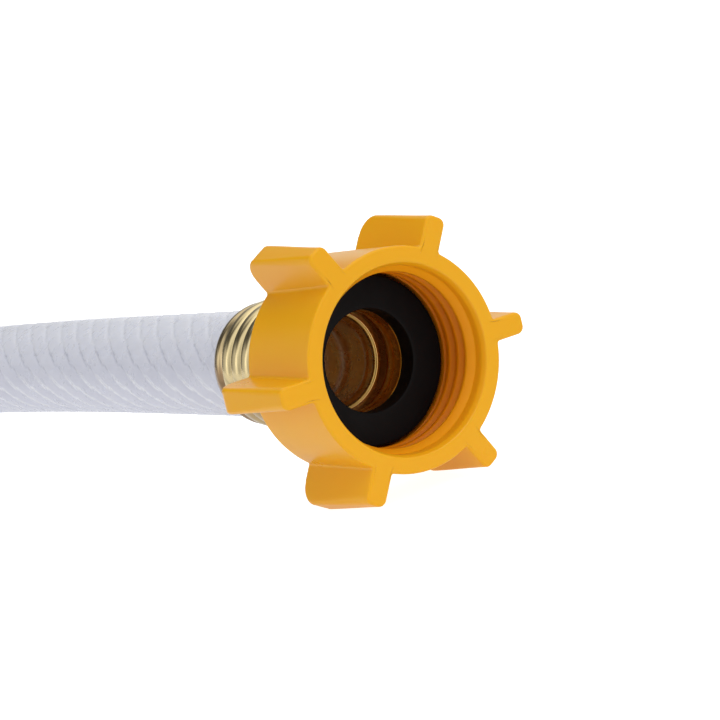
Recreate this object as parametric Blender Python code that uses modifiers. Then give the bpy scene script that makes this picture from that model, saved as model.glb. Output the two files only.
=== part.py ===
"""Inline water pressure regulator with a short inlet hose, for a caravan's mains water inlet.

A winged swivel nut with its hose washer turns on a brass stem. The stem and a
corrugated crimp ferrule hold a short length of reinforced hose, whose other end
is crimped to the hose tail of a barrel regulator. Inside the barrel a sprung
hollow piston closes on a rubber seat disc as the outlet pressure rises.

Units are metres. +X points out of the inlet nut's mouth, +Z is up and Z = 0 is
the surface that the assembly lies on. The origin is the middle of its footprint.
"""

import math

import bmesh
import bpy
from mathutils import Matrix, Vector

MM = 0.001

# ---------------------------------------------------------------- driving sizes (mm)
# Swivel nut, 3/4-11.5 garden hose thread, female
NUT_LENGTH = 17.5
NUT_R = 16.2
NUT_MOUTH_R = 13.8
NUT_LEAD_R = 13.45
THREAD_MAJOR_R = 13.4
THREAD_MINOR_R = 12.5
THREAD_PITCH = 2.209
NUT_FLOOR_HOLE_R = 9.2
WING_COUNT = 6
WING_FRONT_R = 20.8
WING_BACK_R = 22.0
WING_ROOT_T = 3.1
WING_TIP_T = 2.85
WING_CORNER_R = 3.2

# Hose washer
WASHER_R = 12.3
WASHER_HOLE_R = 7.55
WASHER_FRONT = 9.8
WASHER_BACK = 13.13

# Crimped hose ends
FERRULE_START = 17.8
FERRULE_END = 40.5
FERRULE_RIDGE_R = 10.1
FERRULE_VALLEY_R = 9.45
FERRULE_BORE_R = 9.15
FERRULE_LIP_R = 9.65
FERRULE_LIP_BORE_R = 8.8
RIDGE_PITCH = 3.0
RIDGE_COUNT = 6
HOSE_R = 8.5
HOSE_CUT_LENGTH = 304.8
SLEEVE_START = 19.6
SLEEVE_END = 38.0
STEM_TUBE_R = 7.2
STEM_TUBE_BORE_R = 6.5

# Hose route: it steps aside and arches a little, as a short stiff hose does
HOSE_SIDESTEP = -14.0
HOSE_ARCH = 1.25
HOSE_POINTS = 26

# Regulator, measured along the hose from the far ferrule's mouth
REG_LENGTH = 113.0
HEX_AF = 38.1
BARREL_R = 18.4
PISTON_TRAVEL = 1.5

GAP = 0.3

# ---------------------------------------------------------------- places (mm)
SLEEVE_LENGTH = SLEEVE_END - SLEEVE_START
HOSE_LENGTH = HOSE_CUT_LENGTH - 2 * SLEEVE_LENGTH
HOSE_INSET = FERRULE_END - SLEEVE_END - GAP
WING_DOWN_HALF = math.radians(180 / WING_COUNT)
NUT_AXIS_Z = WING_BACK_R * math.cos(WING_DOWN_HALF) + 0.5 * WING_TIP_T * math.sin(WING_DOWN_HALF)
REG_AXIS_Z = HEX_AF / 2


def hose_offset(t):
    """Sideways and upward offset of the hose's centre line at t from 0 to 1."""
    ease = t * t * t * (t * (6 * t - 15) + 10)
    arch = 16 * t * t * (1 - t) * (1 - t)
    return HOSE_SIDESTEP * ease, (REG_AXIS_Z - NUT_AXIS_Z) * ease + HOSE_ARCH * arch


def hose_length(run, steps=400):
    total, last = 0.0, None
    for i in range(steps + 1):
        t = i / steps
        side, up = hose_offset(t)
        here = Vector((run * t, side, up))
        if last is not None:
            total += (here - last).length
        last = here
    return total


def hose_run():
    """The straight distance that leaves the hose exactly its own length."""
    low, high = 0.8 * HOSE_LENGTH, HOSE_LENGTH
    for _ in range(60):
        middle = 0.5 * (low + high)
        if hose_length(middle) > HOSE_LENGTH:
            high = middle
        else:
            low = middle
    return 0.5 * (low + high)


HOSE_RUN = hose_run()
HOSE_START = SLEEVE_END + GAP
TOTAL = HOSE_START + HOSE_RUN - HOSE_INSET + REG_LENGTH
NUT_FACE_X = TOTAL / 2
REG_ZERO_X = NUT_FACE_X - (HOSE_START + HOSE_RUN - HOSE_INSET)
NUT_HALF_Y = WING_BACK_R
REG_HALF_Y = 21.6
NUT_Y = 0.5 * ((REG_HALF_Y - HOSE_SIDESTEP) - NUT_HALF_Y)
REG_Y = NUT_Y + HOSE_SIDESTEP

# ---------------------------------------------------------------- scene and materials
for item in list(bpy.data.objects):
    bpy.data.objects.remove(item, do_unlink=True)

parts = bpy.data.collections.new("water_pressure_regulator")
cutters = bpy.data.collections.new("cutters")
bpy.context.scene.collection.children.link(parts)
bpy.context.scene.collection.children.link(cutters)
cutters.hide_render = True


def material(name, colour, roughness, metallic=0.0, alpha=1.0):
    made = bpy.data.materials.new(name)
    made.use_nodes = True
    shader = made.node_tree.nodes["Principled BSDF"]
    shader.inputs["Base Color"].default_value = (*colour, 1.0)
    shader.inputs["Roughness"].default_value = roughness
    shader.inputs["Metallic"].default_value = metallic
    shader.inputs["Alpha"].default_value = alpha
    made.diffuse_color = (*colour, alpha)
    return made


AMBER = material("amber_plastic", (0.80, 0.42, 0.035), 0.28)
RUBBER = material("black_rubber", (0.018, 0.018, 0.019), 0.65)
BRASS = material("brass", (0.78, 0.56, 0.24), 0.25, 1.0)
SATIN_BRASS = material("satin_brass", (0.70, 0.50, 0.22), 0.38, 1.0)
HOSE_WHITE = material("hose_white", (0.62, 0.64, 0.68), 0.38)
STEEL = material("stainless_steel", (0.62, 0.62, 0.63), 0.28, 1.0)
ACETAL = material("white_acetal", (0.80, 0.80, 0.77), 0.42)
SEAL = material("seat_rubber", (0.030, 0.028, 0.026), 0.7)


# ---------------------------------------------------------------- building blocks
def place(x_mm, y_mm, z_mm):
    """Local +Z becomes world +X, at a point given in mm."""
    turn = Matrix.Rotation(math.radians(90), 4, "Y")
    return Matrix.Translation((x_mm * MM, y_mm * MM, z_mm * MM)) @ turn


NUT_FRAME = place(NUT_FACE_X, NUT_Y, NUT_AXIS_Z)
REG_FRAME = place(REG_ZERO_X, REG_Y, REG_AXIS_Z)


def finish(obj, slot, collection=parts, smooth=True):
    for owner in list(obj.users_collection):
        owner.objects.unlink(obj)
    collection.objects.link(obj)
    if collection is cutters:
        obj.hide_render = True
        obj.display_type = "WIRE"
    if slot is not None:
        obj.data.materials.clear()
        obj.data.materials.append(slot)
    if smooth and obj.type == "MESH":
        obj.data.shade_smooth()
        obj.data.set_sharp_from_angle(angle=math.radians(35))
    return obj


def turned(name, outer, inner, frame, slot, segments=40, collection=parts):
    """A turned ring. outer and inner are (depth, radius) lists in mm, front to back."""
    section = [(radius, -depth) for depth, radius in outer]
    section += [(radius, -depth) for depth, radius in reversed(inner)]
    mesh = bpy.data.meshes.new(name)
    bm = bmesh.new()
    points = [bm.verts.new((r * MM, 0.0, z * MM)) for r, z in section]
    for a, b in zip(points, points[1:] + points[:1]):
        bm.edges.new((a, b))
    bm.to_mesh(mesh)
    bm.free()
    obj = bpy.data.objects.new(name, mesh)
    obj.matrix_world = frame
    screw = obj.modifiers.new("Turn", "SCREW")
    screw.axis = "Z"
    screw.steps = segments
    screw.render_steps = segments
    screw.use_merge_vertices = True
    screw.merge_threshold = 0.00001
    screw.use_smooth_shade = True
    return finish(obj, slot, collection)


def disc(name, profile, frame, slot, segments=40, collection=parts):
    """A turned solid that reaches its axis. profile is (depth, radius) in mm, front to back."""
    mesh = bpy.data.meshes.new(name)
    bm = bmesh.new()
    points = [bm.verts.new((r * MM, 0.0, -d * MM)) for d, r in profile]
    for a, b in zip(points, points[1:]):
        bm.edges.new((a, b))
    bm.to_mesh(mesh)
    bm.free()
    obj = bpy.data.objects.new(name, mesh)
    obj.matrix_world = frame
    screw = obj.modifiers.new("Turn", "SCREW")
    screw.axis = "Z"
    screw.steps = segments
    screw.render_steps = segments
    screw.use_merge_vertices = True
    screw.merge_threshold = 0.00001
    screw.use_smooth_shade = True
    return finish(obj, slot, collection)


def apply_all(obj):
    """Replaces the object's mesh by its evaluated one."""
    bpy.context.view_layer.update()
    graph = bpy.context.evaluated_depsgraph_get()
    mesh = bpy.data.meshes.new_from_object(obj.evaluated_get(graph))
    obj.modifiers.clear()
    obj.data = mesh
    return obj


def boolean(obj, other, operation):
    step = obj.modifiers.new(other.name, "BOOLEAN")
    step.operation = operation
    step.object = other
    step.solver = "EXACT"
    return obj


def prism(name, sides, radius, front, back, frame, collection=cutters, turn=0.0):
    """A straight prism along the part's axis; radius is to its corners, in mm."""
    mesh = bpy.data.meshes.new(name)
    bm = bmesh.new()
    bmesh.ops.create_cone(
        bm, cap_ends=True, segments=sides, radius1=radius * MM, radius2=radius * MM, depth=(back - front) * MM
    )
    bm.to_mesh(mesh)
    bm.free()
    obj = bpy.data.objects.new(name, mesh)
    obj.matrix_world = frame @ Matrix.Translation((0, 0, -0.5 * (front + back) * MM)) @ Matrix.Rotation(turn, 4, "Z")
    return finish(obj, None, collection, smooth=False)


def hexagon(name, across_flats, chamfer_r, front, back, frame):
    """A wrench hexagon with turned-off corners and a flat facing down."""
    corner = across_flats / 2 / math.cos(math.radians(30))
    hexa = prism(name, 6, corner, front, back, frame)
    inset = corner - chamfer_r + 0.9
    blank = disc(
        name + "_corners",
        [
            (front - 0.001, 0.0),
            (front - 0.001, chamfer_r - inset),
            (front + 0.55 * inset, chamfer_r),
            (back - 0.55 * inset, chamfer_r),
            (back + 0.001, chamfer_r - inset),
            (back + 0.001, 0.0),
        ],
        frame,
        None,
        segments=48,
        collection=cutters,
    )
    boolean(hexa, blank, "INTERSECT")
    return hexa


def o_ring(name, centre_depth, centre_r, section_r, frame, slot=RUBBER):
    bpy.ops.mesh.primitive_torus_add(
        major_segments=24, minor_segments=6, major_radius=centre_r * MM, minor_radius=section_r * MM
    )
    obj = bpy.context.active_object
    obj.name = name
    obj.data.name = name
    obj.matrix_world = frame @ Matrix.Translation((0, 0, -centre_depth * MM))
    return finish(obj, slot)


def wire(name, points, radius, slot, resolution=2):
    """A round wire or tube through world points in metres, closed by flat ends."""
    data = bpy.data.curves.new(name, "CURVE")
    data.dimensions = "3D"
    spline = data.splines.new("POLY")
    spline.points.add(len(points) - 1)
    for target, point in zip(spline.points, points):
        target.co = (*point, 1.0)
    data.bevel_depth = radius * MM
    data.bevel_resolution = resolution
    data.use_fill_caps = True
    obj = bpy.data.objects.new(name, data)
    return finish(obj, slot)


def thread_profile(first, last, crest, root, pitch):
    """(depth, radius) of a ring thread between two depths, starting and ending at the root."""
    count = int((last - first) / pitch)
    points = []
    for i in range(count):
        start = first + i * pitch
        points += [(start + 0.1 * pitch, root), (start + 0.45 * pitch, crest), (start + 0.6 * pitch, crest)]
    return points


# ---------------------------------------------------------------- inlet coupling
def swivel_nut():
    outer = [(0.0, NUT_R - 0.5), (0.5, NUT_R), (NUT_LENGTH - 0.9, NUT_R), (NUT_LENGTH, NUT_R - 0.9)]
    inner = [(0.0, NUT_MOUTH_R), (0.8, NUT_LEAD_R), (3.4, NUT_LEAD_R), (4.3, THREAD_MAJOR_R)]
    inner += [(d, r) for d, r in thread_profile(4.5, 9.3, THREAD_MINOR_R, THREAD_MAJOR_R - 0.05, THREAD_PITCH)]
    inner += [
        (9.2, 13.1),
        (15.7, 13.1),
        (15.7, NUT_FLOOR_HOLE_R),
        (NUT_LENGTH, NUT_FLOOR_HOLE_R),
    ]
    nut = turned("swivel_nut", outer, inner, NUT_FRAME, AMBER, segments=48)
    nut = apply_all(nut)
    for i in range(WING_COUNT):
        angle = math.radians(30 + 60 * i)
        wing = wing_plate(f"wing_{i + 1}", angle)
        boolean(nut, wing, "UNION")
    return nut


def wing_plate(name, angle):
    """One grip wing: a plate in the nut's radial plane, with a rounded outer back corner."""
    inner_r, front, back = NUT_R - 1.2, 0.25, NUT_LENGTH - 0.15
    outline = [(front, inner_r), (front, WING_FRONT_R - 0.5), (front + 0.4, WING_FRONT_R - 0.05)]
    centre_d, centre_r = back - WING_CORNER_R, WING_BACK_R - WING_CORNER_R
    for k in range(6):
        turn = math.radians(90 - 18 * k)
        outline.append((centre_d + WING_CORNER_R * math.cos(turn), centre_r + WING_CORNER_R * math.sin(turn)))
    outline.append((back, inner_r))
    data = bpy.data.curves.new(name, "CURVE")
    data.dimensions = "2D"
    data.fill_mode = "BOTH"
    data.extrude = 0.5 * WING_ROOT_T * MM
    spline = data.splines.new("POLY")
    spline.points.add(len(outline) - 1)
    for target, (depth, radius) in zip(spline.points, outline):
        target.co = (radius * MM, -depth * MM, 0.0, 1.0)
    spline.use_cyclic_u = True
    flat = bpy.data.objects.new(name + "_outline", data)
    cutters.objects.link(flat)
    bpy.context.view_layer.update()
    graph = bpy.context.evaluated_depsgraph_get()
    mesh = bpy.data.meshes.new_from_object(flat.evaluated_get(graph))
    bpy.data.objects.remove(flat, do_unlink=True)
    bm = bmesh.new()
    bm.from_mesh(mesh)
    bmesh.ops.remove_doubles(bm, verts=bm.verts, dist=1e-6)
    span = (WING_BACK_R - inner_r) * MM
    for vert in bm.verts:
        out = (vert.co.x - inner_r * MM) / span
        vert.co.z *= 1 + out * (WING_TIP_T / WING_ROOT_T - 1)
    bmesh.ops.recalc_face_normals(bm, faces=bm.faces)
    bm.to_mesh(mesh)
    bm.free()
    mesh.name = name
    obj = bpy.data.objects.new(name, mesh)
    # The outline's X is the radius and its Y the axis: stand it up, then turn it round the axis.
    obj.matrix_world = NUT_FRAME @ Matrix.Rotation(angle, 4, "Z") @ Matrix.Rotation(math.radians(90), 4, "X")
    return finish(obj, None, cutters, smooth=False)


def hose_washer():
    outer = [(WASHER_FRONT, WASHER_R - 0.15), (WASHER_FRONT + 0.15, WASHER_R), (WASHER_BACK - 0.15, WASHER_R), (WASHER_BACK, WASHER_R - 0.15)]
    inner = [(WASHER_FRONT, WASHER_HOLE_R + 0.2), (WASHER_FRONT + 0.2, WASHER_HOLE_R), (WASHER_BACK, WASHER_HOLE_R)]
    return turned("hose_washer", outer, inner, NUT_FRAME, RUBBER, segments=40)


def inlet_stem():
    front = WASHER_BACK + GAP
    outer = [
        (front, 12.3),
        (15.2, 12.3),
        (15.2, 8.9),
        (15.6, 8.5),
        (19.3, 8.5),
        (19.3, STEM_TUBE_R),
        (37.7, STEM_TUBE_R),
    ]
    inner = [
        (front, 7.7),
        (18.7, 7.7),
        (19.0, 7.2),
        (20.4, STEM_TUBE_BORE_R),
        (37.7, STEM_TUBE_BORE_R),
    ]
    return turned("inlet_stem", outer, inner, NUT_FRAME, BRASS, segments=32)


def ferrule(name, frame, flip):
    """A corrugated crimp ferrule. flip swaps its ends for the hose's far end."""
    outer = [(FERRULE_START, 9.3), (FERRULE_START + 0.4, 9.75)]
    start = FERRULE_START + 1.4
    for i in range(RIDGE_COUNT):
        d = start + i * RIDGE_PITCH
        outer += [(d, FERRULE_VALLEY_R), (d + 0.9, FERRULE_RIDGE_R), (d + 2.1, FERRULE_RIDGE_R)]
    outer += [(start + RIDGE_COUNT * RIDGE_PITCH, FERRULE_VALLEY_R), (38.3, FERRULE_LIP_R), (FERRULE_END - 0.4, FERRULE_LIP_R), (FERRULE_END, FERRULE_LIP_R - 0.3)]
    inner = [
        (FERRULE_START, 8.8),
        (SLEEVE_START - GAP, 8.8),
        (SLEEVE_START - GAP, FERRULE_BORE_R),
        (38.2, FERRULE_BORE_R),
        (38.6, FERRULE_LIP_BORE_R),
        (FERRULE_END, FERRULE_LIP_BORE_R),
    ]
    if flip:
        outer = [(FERRULE_END - d, r) for d, r in reversed(outer)]
        inner = [(FERRULE_END - d, r) for d, r in reversed(inner)]
    return turned(name, outer, inner, frame, BRASS, segments=24)


def hose_end(name, frame, flip):
    """The crimped end of the hose, between the stem's tube and the ferrule."""
    outer = [(SLEEVE_START, FERRULE_BORE_R - GAP), (SLEEVE_END - 0.2, FERRULE_BORE_R - GAP), (SLEEVE_END, HOSE_R)]
    inner = [(SLEEVE_START, STEM_TUBE_R + GAP), (SLEEVE_END, STEM_TUBE_R + GAP)]
    if flip:
        outer = [(FERRULE_END - d, r) for d, r in reversed(outer)]
        inner = [(FERRULE_END - d, r) for d, r in reversed(inner)]
    return turned(name, outer, inner, frame, HOSE_WHITE, segments=24)


def supply_hose():
    """The hose's free length, from one ferrule to the other."""
    points = []
    for i in range(HOSE_POINTS):
        t = i / (HOSE_POINTS - 1)
        side, up = hose_offset(t)
        points.append(
            (
                (NUT_FACE_X - HOSE_START - HOSE_RUN * t) * MM,
                (NUT_Y + side) * MM,
                (NUT_AXIS_Z + up) * MM,
            )
        )
    return wire("supply_hose", points, HOSE_R, HOSE_WHITE, resolution=4)


# ---------------------------------------------------------------- regulator
def hose_tail():
    """Barbless crimp tube, wrench hexagon and threaded plug in one turned piece."""
    outer = [(2.8, STEM_TUBE_R), (21.2, STEM_TUBE_R), (21.2, 8.5), (24.6, 8.5), (24.6, 12.2), (32.0, 12.2), (32.0, 11.1), (34.4, 11.1)]
    outer += [(34.4, 13.1), (43.0, 13.1), (43.6, 12.5)]
    inner = [(2.8, STEM_TUBE_BORE_R), (43.6, STEM_TUBE_BORE_R)]
    tail = turned("hose_tail", outer, inner, REG_FRAME, SATIN_BRASS, segments=32)
    tail = apply_all(tail)
    boolean(tail, hex_ring("tail_hex", 27.0, 15.2, 24.9, 31.7, 10.0), "UNION")
    return tail


def regulator_body():
    outer = [
        (32.3, 15.9),
        (33.0, 16.6),
        (41.0, 16.6),
        (44.5, BARREL_R),
        (89.4, BARREL_R),
        (90.0, BARREL_R - 0.6),
    ]
    inner = [
        (32.3, 13.6),
        (34.8, 13.6),
        (34.8, 13.45),
        (43.9, 13.45),
        (43.9, 12.0),
        (46.2, 12.0),
        (46.2, 13.0),
        (47.8, 13.0),
        (47.8, 12.0),
        (51.3, 12.0),
        (51.3, 10.5),
        (58.0, 10.5),
        (58.0, 5.3),
        (64.0, 5.3),
        (64.0, 15.5),
        (80.2, 15.5),
        (80.2, 16.9),
        (88.2, 16.9),
        (88.2, 17.3),
        (90.0, 17.3),
    ]
    body = turned("regulator_body", outer, inner, REG_FRAME, BRASS, segments=32)
    body = apply_all(body)
    boolean(body, hex_ring("body_hex", HEX_AF, 21.6, 51.0, 66.0, BARREL_R - 1.0), "UNION")
    vent = prism("vent_drill", 12, 0.9, 0.0, 8.0, REG_FRAME)
    vent.matrix_world = REG_FRAME @ Matrix.Translation((0, 0, -73.0 * MM)) @ Matrix.Rotation(math.radians(-90), 4, "Y") @ Matrix.Translation((0, 0, 17.5 * MM))
    boolean(body, vent, "DIFFERENCE")
    return body


def hex_ring(name, across_flats, chamfer_r, front, back, hole_r):
    """A hexagon with a round hole, so that it joins a turned body without filling its bore."""
    hexa = hexagon(name, across_flats, chamfer_r, front, back, REG_FRAME)
    hole = prism(name + "_hole", 32, hole_r, front - 2, back + 2, REG_FRAME)
    boolean(hexa, hole, "DIFFERENCE")
    return hexa


def strainer_screen():
    profile = [(44.3, 0.0), (44.3, 11.7), (45.5, 11.7), (45.5, 10.2), (44.9, 10.0), (44.9, 0.0)]
    screen = disc("strainer_screen", profile, REG_FRAME, STEEL, segments=32)
    screen = apply_all(screen)
    rings = ((0.0, 1), (6.0, 6))
    for ring_r, count in rings:
        for i in range(count):
            angle = 2 * math.pi * (i + 0.5) / count
            hole = prism(f"screen_hole_{ring_r:.0f}_{i}", 8, 2.4, 43.5, 46.0, REG_FRAME)
            hole.matrix_world = Matrix.Translation((0, 0, 0)) @ REG_FRAME @ Matrix.Translation(
                (ring_r * math.cos(angle) * MM, ring_r * math.sin(angle) * MM, -44.75 * MM)
            )
            boolean(screen, hole, "DIFFERENCE")
    return screen


def seat_snap_ring():
    points = []
    for i in range(19):
        angle = math.radians(15 + 330 * i / 18)
        local = Vector((12.0 * math.cos(angle) * MM, 12.0 * math.sin(angle) * MM, -47.0 * MM))
        points.append(tuple(REG_FRAME @ local))
    return wire("seat_snap_ring", points, 0.5, STEEL)


def seat_carrier():
    """Spider that holds the seat disc in the stream."""
    outer = [(48.1, 11.7), (51.0, 11.7), (51.0, 6.6), (53.4, 6.6)]
    inner = [(48.1, 1.7), (52.0, 1.7), (52.0, 5.4), (53.4, 5.4)]
    carrier = turned("seat_carrier", outer, inner, REG_FRAME, ACETAL, segments=28)
    carrier = apply_all(carrier)
    for i in range(6):
        angle = math.radians(60 * i)
        hole = prism(f"carrier_port_{i}", 10, 1.9, 47.0, 52.0, REG_FRAME)
        hole.matrix_world = REG_FRAME @ Matrix.Translation((9.0 * math.cos(angle) * MM, 9.0 * math.sin(angle) * MM, -49.5 * MM))
        boolean(carrier, hole, "DIFFERENCE")
    return carrier


def seat_disc():
    outer = [(52.3, 5.1), (54.3, 5.1)]
    inner = [(52.3, 1.6), (54.3, 1.6)]
    return turned("seat_disc", outer, inner, REG_FRAME, SEAL, segments=32)


def seat_screw():
    profile = [(47.4, 0.0), (47.4, 1.1), (47.6, 1.3), (54.6, 1.3), (54.6, 2.2), (55.4, 2.2), (55.8, 1.7), (55.8, 0.0)]
    screw = disc("seat_screw", profile, REG_FRAME, STEEL, segments=20)
    screw = apply_all(screw)
    slot_cut = prism("screw_slot", 4, 3.2, 55.2, 56.4, REG_FRAME)
    slot_cut.matrix_world = REG_FRAME @ Matrix.Translation((0, 0, -55.85 * MM)) @ Matrix.Diagonal((0.12, 1.0, 0.75, 1.0)) @ Matrix.Rotation(math.radians(45), 4, "Z")
    boolean(screw, slot_cut, "DIFFERENCE")
    return screw


def piston():
    outer = [
        (56.1, 3.9),
        (57.2, 4.9),
        (60.2, 4.9),
        (60.2, 3.85),
        (62.0, 3.85),
        (62.0, 4.9),
        (81.6, 4.9),
        (81.6, 14.0),
        (83.2, 14.0),
        (83.2, 12.2),
        (85.8, 12.2),
        (85.8, 14.0),
        (87.0, 14.0),
    ]
    inner = [(56.1, 3.4), (84.0, 3.4), (87.0, 6.0)]
    return turned("piston", outer, inner, REG_FRAME, ACETAL, segments=28)


def piston_spring():
    """Compression spring with closed ends, between the body's web and the piston's head."""
    wire_r, mean_r, turns = 1.0, 9.6, 5.5
    low, high = 64.3 + wire_r, 81.3 - wire_r
    per_turn, dead = 10, 1.0
    points = []
    count = int(per_turn * turns)
    for i in range(count + 1):
        turn = turns * i / count
        rise = min(max((turn - dead * 0.5) / (turns - dead), 0.0), 1.0)
        rise = rise * rise * (3 - 2 * rise) * 0.35 + rise * 0.65
        # The closed end coils still climb a little, so that they clear each other.
        depth = low + (high - low) * (0.12 * turn / turns + 0.88 * rise)
        angle = 2 * math.pi * turn
        local = Vector((mean_r * math.cos(angle) * MM, mean_r * math.sin(angle) * MM, -depth * MM))
        points.append(tuple(REG_FRAME @ local))
    return wire("piston_spring", points, wire_r, STEEL)


def outlet_body():
    outer = [
        (80.5, 16.0),
        (81.0, 16.55),
        (88.0, 16.55),
        (88.0, 15.2),
        (90.3, 15.2),
        (90.3, 17.8),
        (90.9, BARREL_R),
        (96.4, BARREL_R),
        (97.2, 17.6),
        (97.2, 11.9),
        (98.6, 11.9),
    ]
    outer += thread_profile(98.8, 112.4, 13.42, 12.1, THREAD_PITCH)
    outer += [(112.3, 12.1), (REG_LENGTH, 11.5)]
    inner = [(80.5, 14.4), (87.3, 14.4), (87.3, 9.0), (89.0, 8.0), (REG_LENGTH - 0.5, 8.0), (REG_LENGTH, 8.5)]
    return turned("outlet_body", outer, inner, REG_FRAME, BRASS, segments=32)


swivel_nut()
hose_washer()
inlet_stem()
ferrule("inlet_ferrule", NUT_FRAME, False)
hose_end("inlet_hose_end", NUT_FRAME, False)
supply_hose()
hose_end("regulator_hose_end", REG_FRAME, True)
ferrule("regulator_ferrule", REG_FRAME, True)
hose_tail()
o_ring("hose_tail_o_ring", 33.4, 12.35, 0.9, REG_FRAME)
regulator_body()
strainer_screen()
seat_snap_ring()
seat_carrier()
seat_disc()
seat_screw()
piston()
o_ring("piston_stem_o_ring", 61.1, 4.6, 0.45, REG_FRAME)
o_ring("piston_head_o_ring", 84.5, 13.3, 0.8, REG_FRAME)
piston_spring()
outlet_body()
o_ring("outlet_body_o_ring", 89.2, 16.25, 0.72, REG_FRAME)
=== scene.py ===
import math

import bmesh
import bpy
import numpy as np
from mathutils import Matrix, Vector


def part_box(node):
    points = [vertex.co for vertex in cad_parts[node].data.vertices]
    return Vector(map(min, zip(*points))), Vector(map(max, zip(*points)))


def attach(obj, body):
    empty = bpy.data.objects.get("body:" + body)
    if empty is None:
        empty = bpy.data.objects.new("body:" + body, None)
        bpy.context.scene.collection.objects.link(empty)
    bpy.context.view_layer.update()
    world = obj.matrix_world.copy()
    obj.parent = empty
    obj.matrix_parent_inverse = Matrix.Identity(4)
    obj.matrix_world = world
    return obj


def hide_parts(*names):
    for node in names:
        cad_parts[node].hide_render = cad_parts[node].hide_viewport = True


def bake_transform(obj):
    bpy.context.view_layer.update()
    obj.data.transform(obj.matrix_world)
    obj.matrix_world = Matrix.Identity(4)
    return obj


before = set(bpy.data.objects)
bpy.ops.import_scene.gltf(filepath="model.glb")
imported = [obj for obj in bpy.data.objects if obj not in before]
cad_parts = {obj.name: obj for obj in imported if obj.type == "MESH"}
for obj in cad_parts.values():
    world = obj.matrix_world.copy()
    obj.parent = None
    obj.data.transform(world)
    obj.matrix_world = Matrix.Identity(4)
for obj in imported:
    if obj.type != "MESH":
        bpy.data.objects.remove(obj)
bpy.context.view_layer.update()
MM = 0.001

# ------------------------------------------------------------------ places, all in mm
_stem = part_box("inlet_stem")
_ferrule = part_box("regulator_ferrule")
NUT_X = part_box("swivel_nut")[1].x / MM
NUT_Y = 0.5 * (_stem[0].y + _stem[1].y) / MM
NUT_Z = 0.5 * (_stem[0].z + _stem[1].z) / MM
REG_X = _ferrule[1].x / MM
REG_Y = 0.5 * (_ferrule[0].y + _ferrule[1].y) / MM
REG_Z = 0.5 * (_ferrule[0].z + _ferrule[1].z) / MM
NUT = (NUT_X, NUT_Y, NUT_Z)
REG = (REG_X, REG_Y, REG_Z)

HOSE_START = 38.3
HOSE_RUN = 267.46191
HOSE_LENGTH = 268.0
HOSE_R = 8.46

scene = bpy.context.scene
scene.view_settings.view_transform = "Standard"
scene.view_settings.look = "None"
scene.view_settings.exposure = 0.0
scene.view_settings.gamma = 1.0


# ------------------------------------------------------------------ camera
def make_camera():
    data = bpy.data.cameras.new("camera")
    data.sensor_fit = "HORIZONTAL"
    data.sensor_width = 36.0
    data.lens = 105.0
    data.clip_start = 0.01
    data.clip_end = 20.0
    cam = bpy.data.objects.new("camera", data)
    scene.collection.objects.link(cam)
    right = Vector((0.5286293, 0.81636753, -0.23258357))
    up = Vector((0.01244019, 0.26651738, 0.96374983))
    look = Vector((-0.84876163, 0.51235978, -0.13073313))
    place = Vector((NUT_X + 248.198, NUT_Y - 157.347, NUT_Z + 40.276)) * MM
    turn = Matrix((right, up, -look)).transposed()
    cam.matrix_world = Matrix.Translation(place) @ turn.to_4x4()
    scene.camera = cam
    return cam


make_camera()


# ------------------------------------------------------------------ mesh helpers
def mesh_object(name, verts, faces, smooth=True):
    """A mesh object from points in mm, in the row frame."""
    mesh = bpy.data.meshes.new(name)
    mesh.from_pydata([tuple(v) for v in (np.asarray(verts, float) * MM)], [], faces)
    mesh.validate()
    if smooth:
        mesh.shade_smooth()
    obj = bpy.data.objects.new(name, mesh)
    scene.collection.objects.link(obj)
    return obj


def face_out(obj):
    """Turns a closed mesh's faces outwards."""
    bm = bmesh.new()
    bm.from_mesh(obj.data)
    bmesh.ops.recalc_face_normals(bm, faces=bm.faces)
    bm.to_mesh(obj.data)
    bm.free()
    return obj


def soft_shade(obj, sharp=38.0):
    obj.data.shade_smooth()
    obj.data.set_sharp_from_angle(angle=math.radians(sharp))
    step = obj.modifiers.new("Normals", "WEIGHTED_NORMAL")
    step.keep_sharp = True
    step.weight = 60
    return obj


def grid_faces(rows, cols, close_rows=False, close_cols=True):
    """Quads over a grid of points numbered row by row."""
    faces = []
    last_row = rows if close_rows else rows - 1
    last_col = cols if close_cols else cols - 1
    for i in range(last_row):
        a = i * cols
        b = ((i + 1) % rows) * cols
        for j in range(last_col):
            k = (j + 1) % cols
            faces.append((a + j, a + k, b + k, b + j))
    return faces


def rounded(points, radii, steps=4):
    """A polyline with its corners rounded. radii is one number or one for each point."""
    pts = [np.array(p, float) for p in points]
    count = len(pts)
    if not hasattr(radii, "__len__"):
        radii = [radii] * count
    out = []
    for i, p in enumerate(pts):
        if i in (0, count - 1) or radii[i] <= 0:
            out.append(tuple(p))
            continue
        a, b = pts[i - 1] - p, pts[i + 1] - p
        la, lb = np.linalg.norm(a), np.linalg.norm(b)
        a, b = a / la, b / lb
        cos = float(np.clip(a @ b, -1, 1))
        half = math.acos(cos) / 2
        if half > math.radians(86):
            out.append(tuple(p))
            continue
        cut = min(radii[i] / math.tan(half), 0.45 * la, 0.45 * lb)
        radius = cut * math.tan(half)
        middle = (a + b) / np.linalg.norm(a + b)
        centre = p + middle * (radius / math.sin(half))
        start, end = p + a * cut - centre, p + b * cut - centre
        ang0, ang1 = math.atan2(start[1], start[0]), math.atan2(end[1], end[0])
        turn = (ang1 - ang0 + math.pi) % (2 * math.pi) - math.pi
        for k in range(steps + 1):
            w = ang0 + turn * k / steps
            out.append((centre[0] + radius * math.cos(w), centre[1] + radius * math.sin(w)))
    return out


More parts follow.
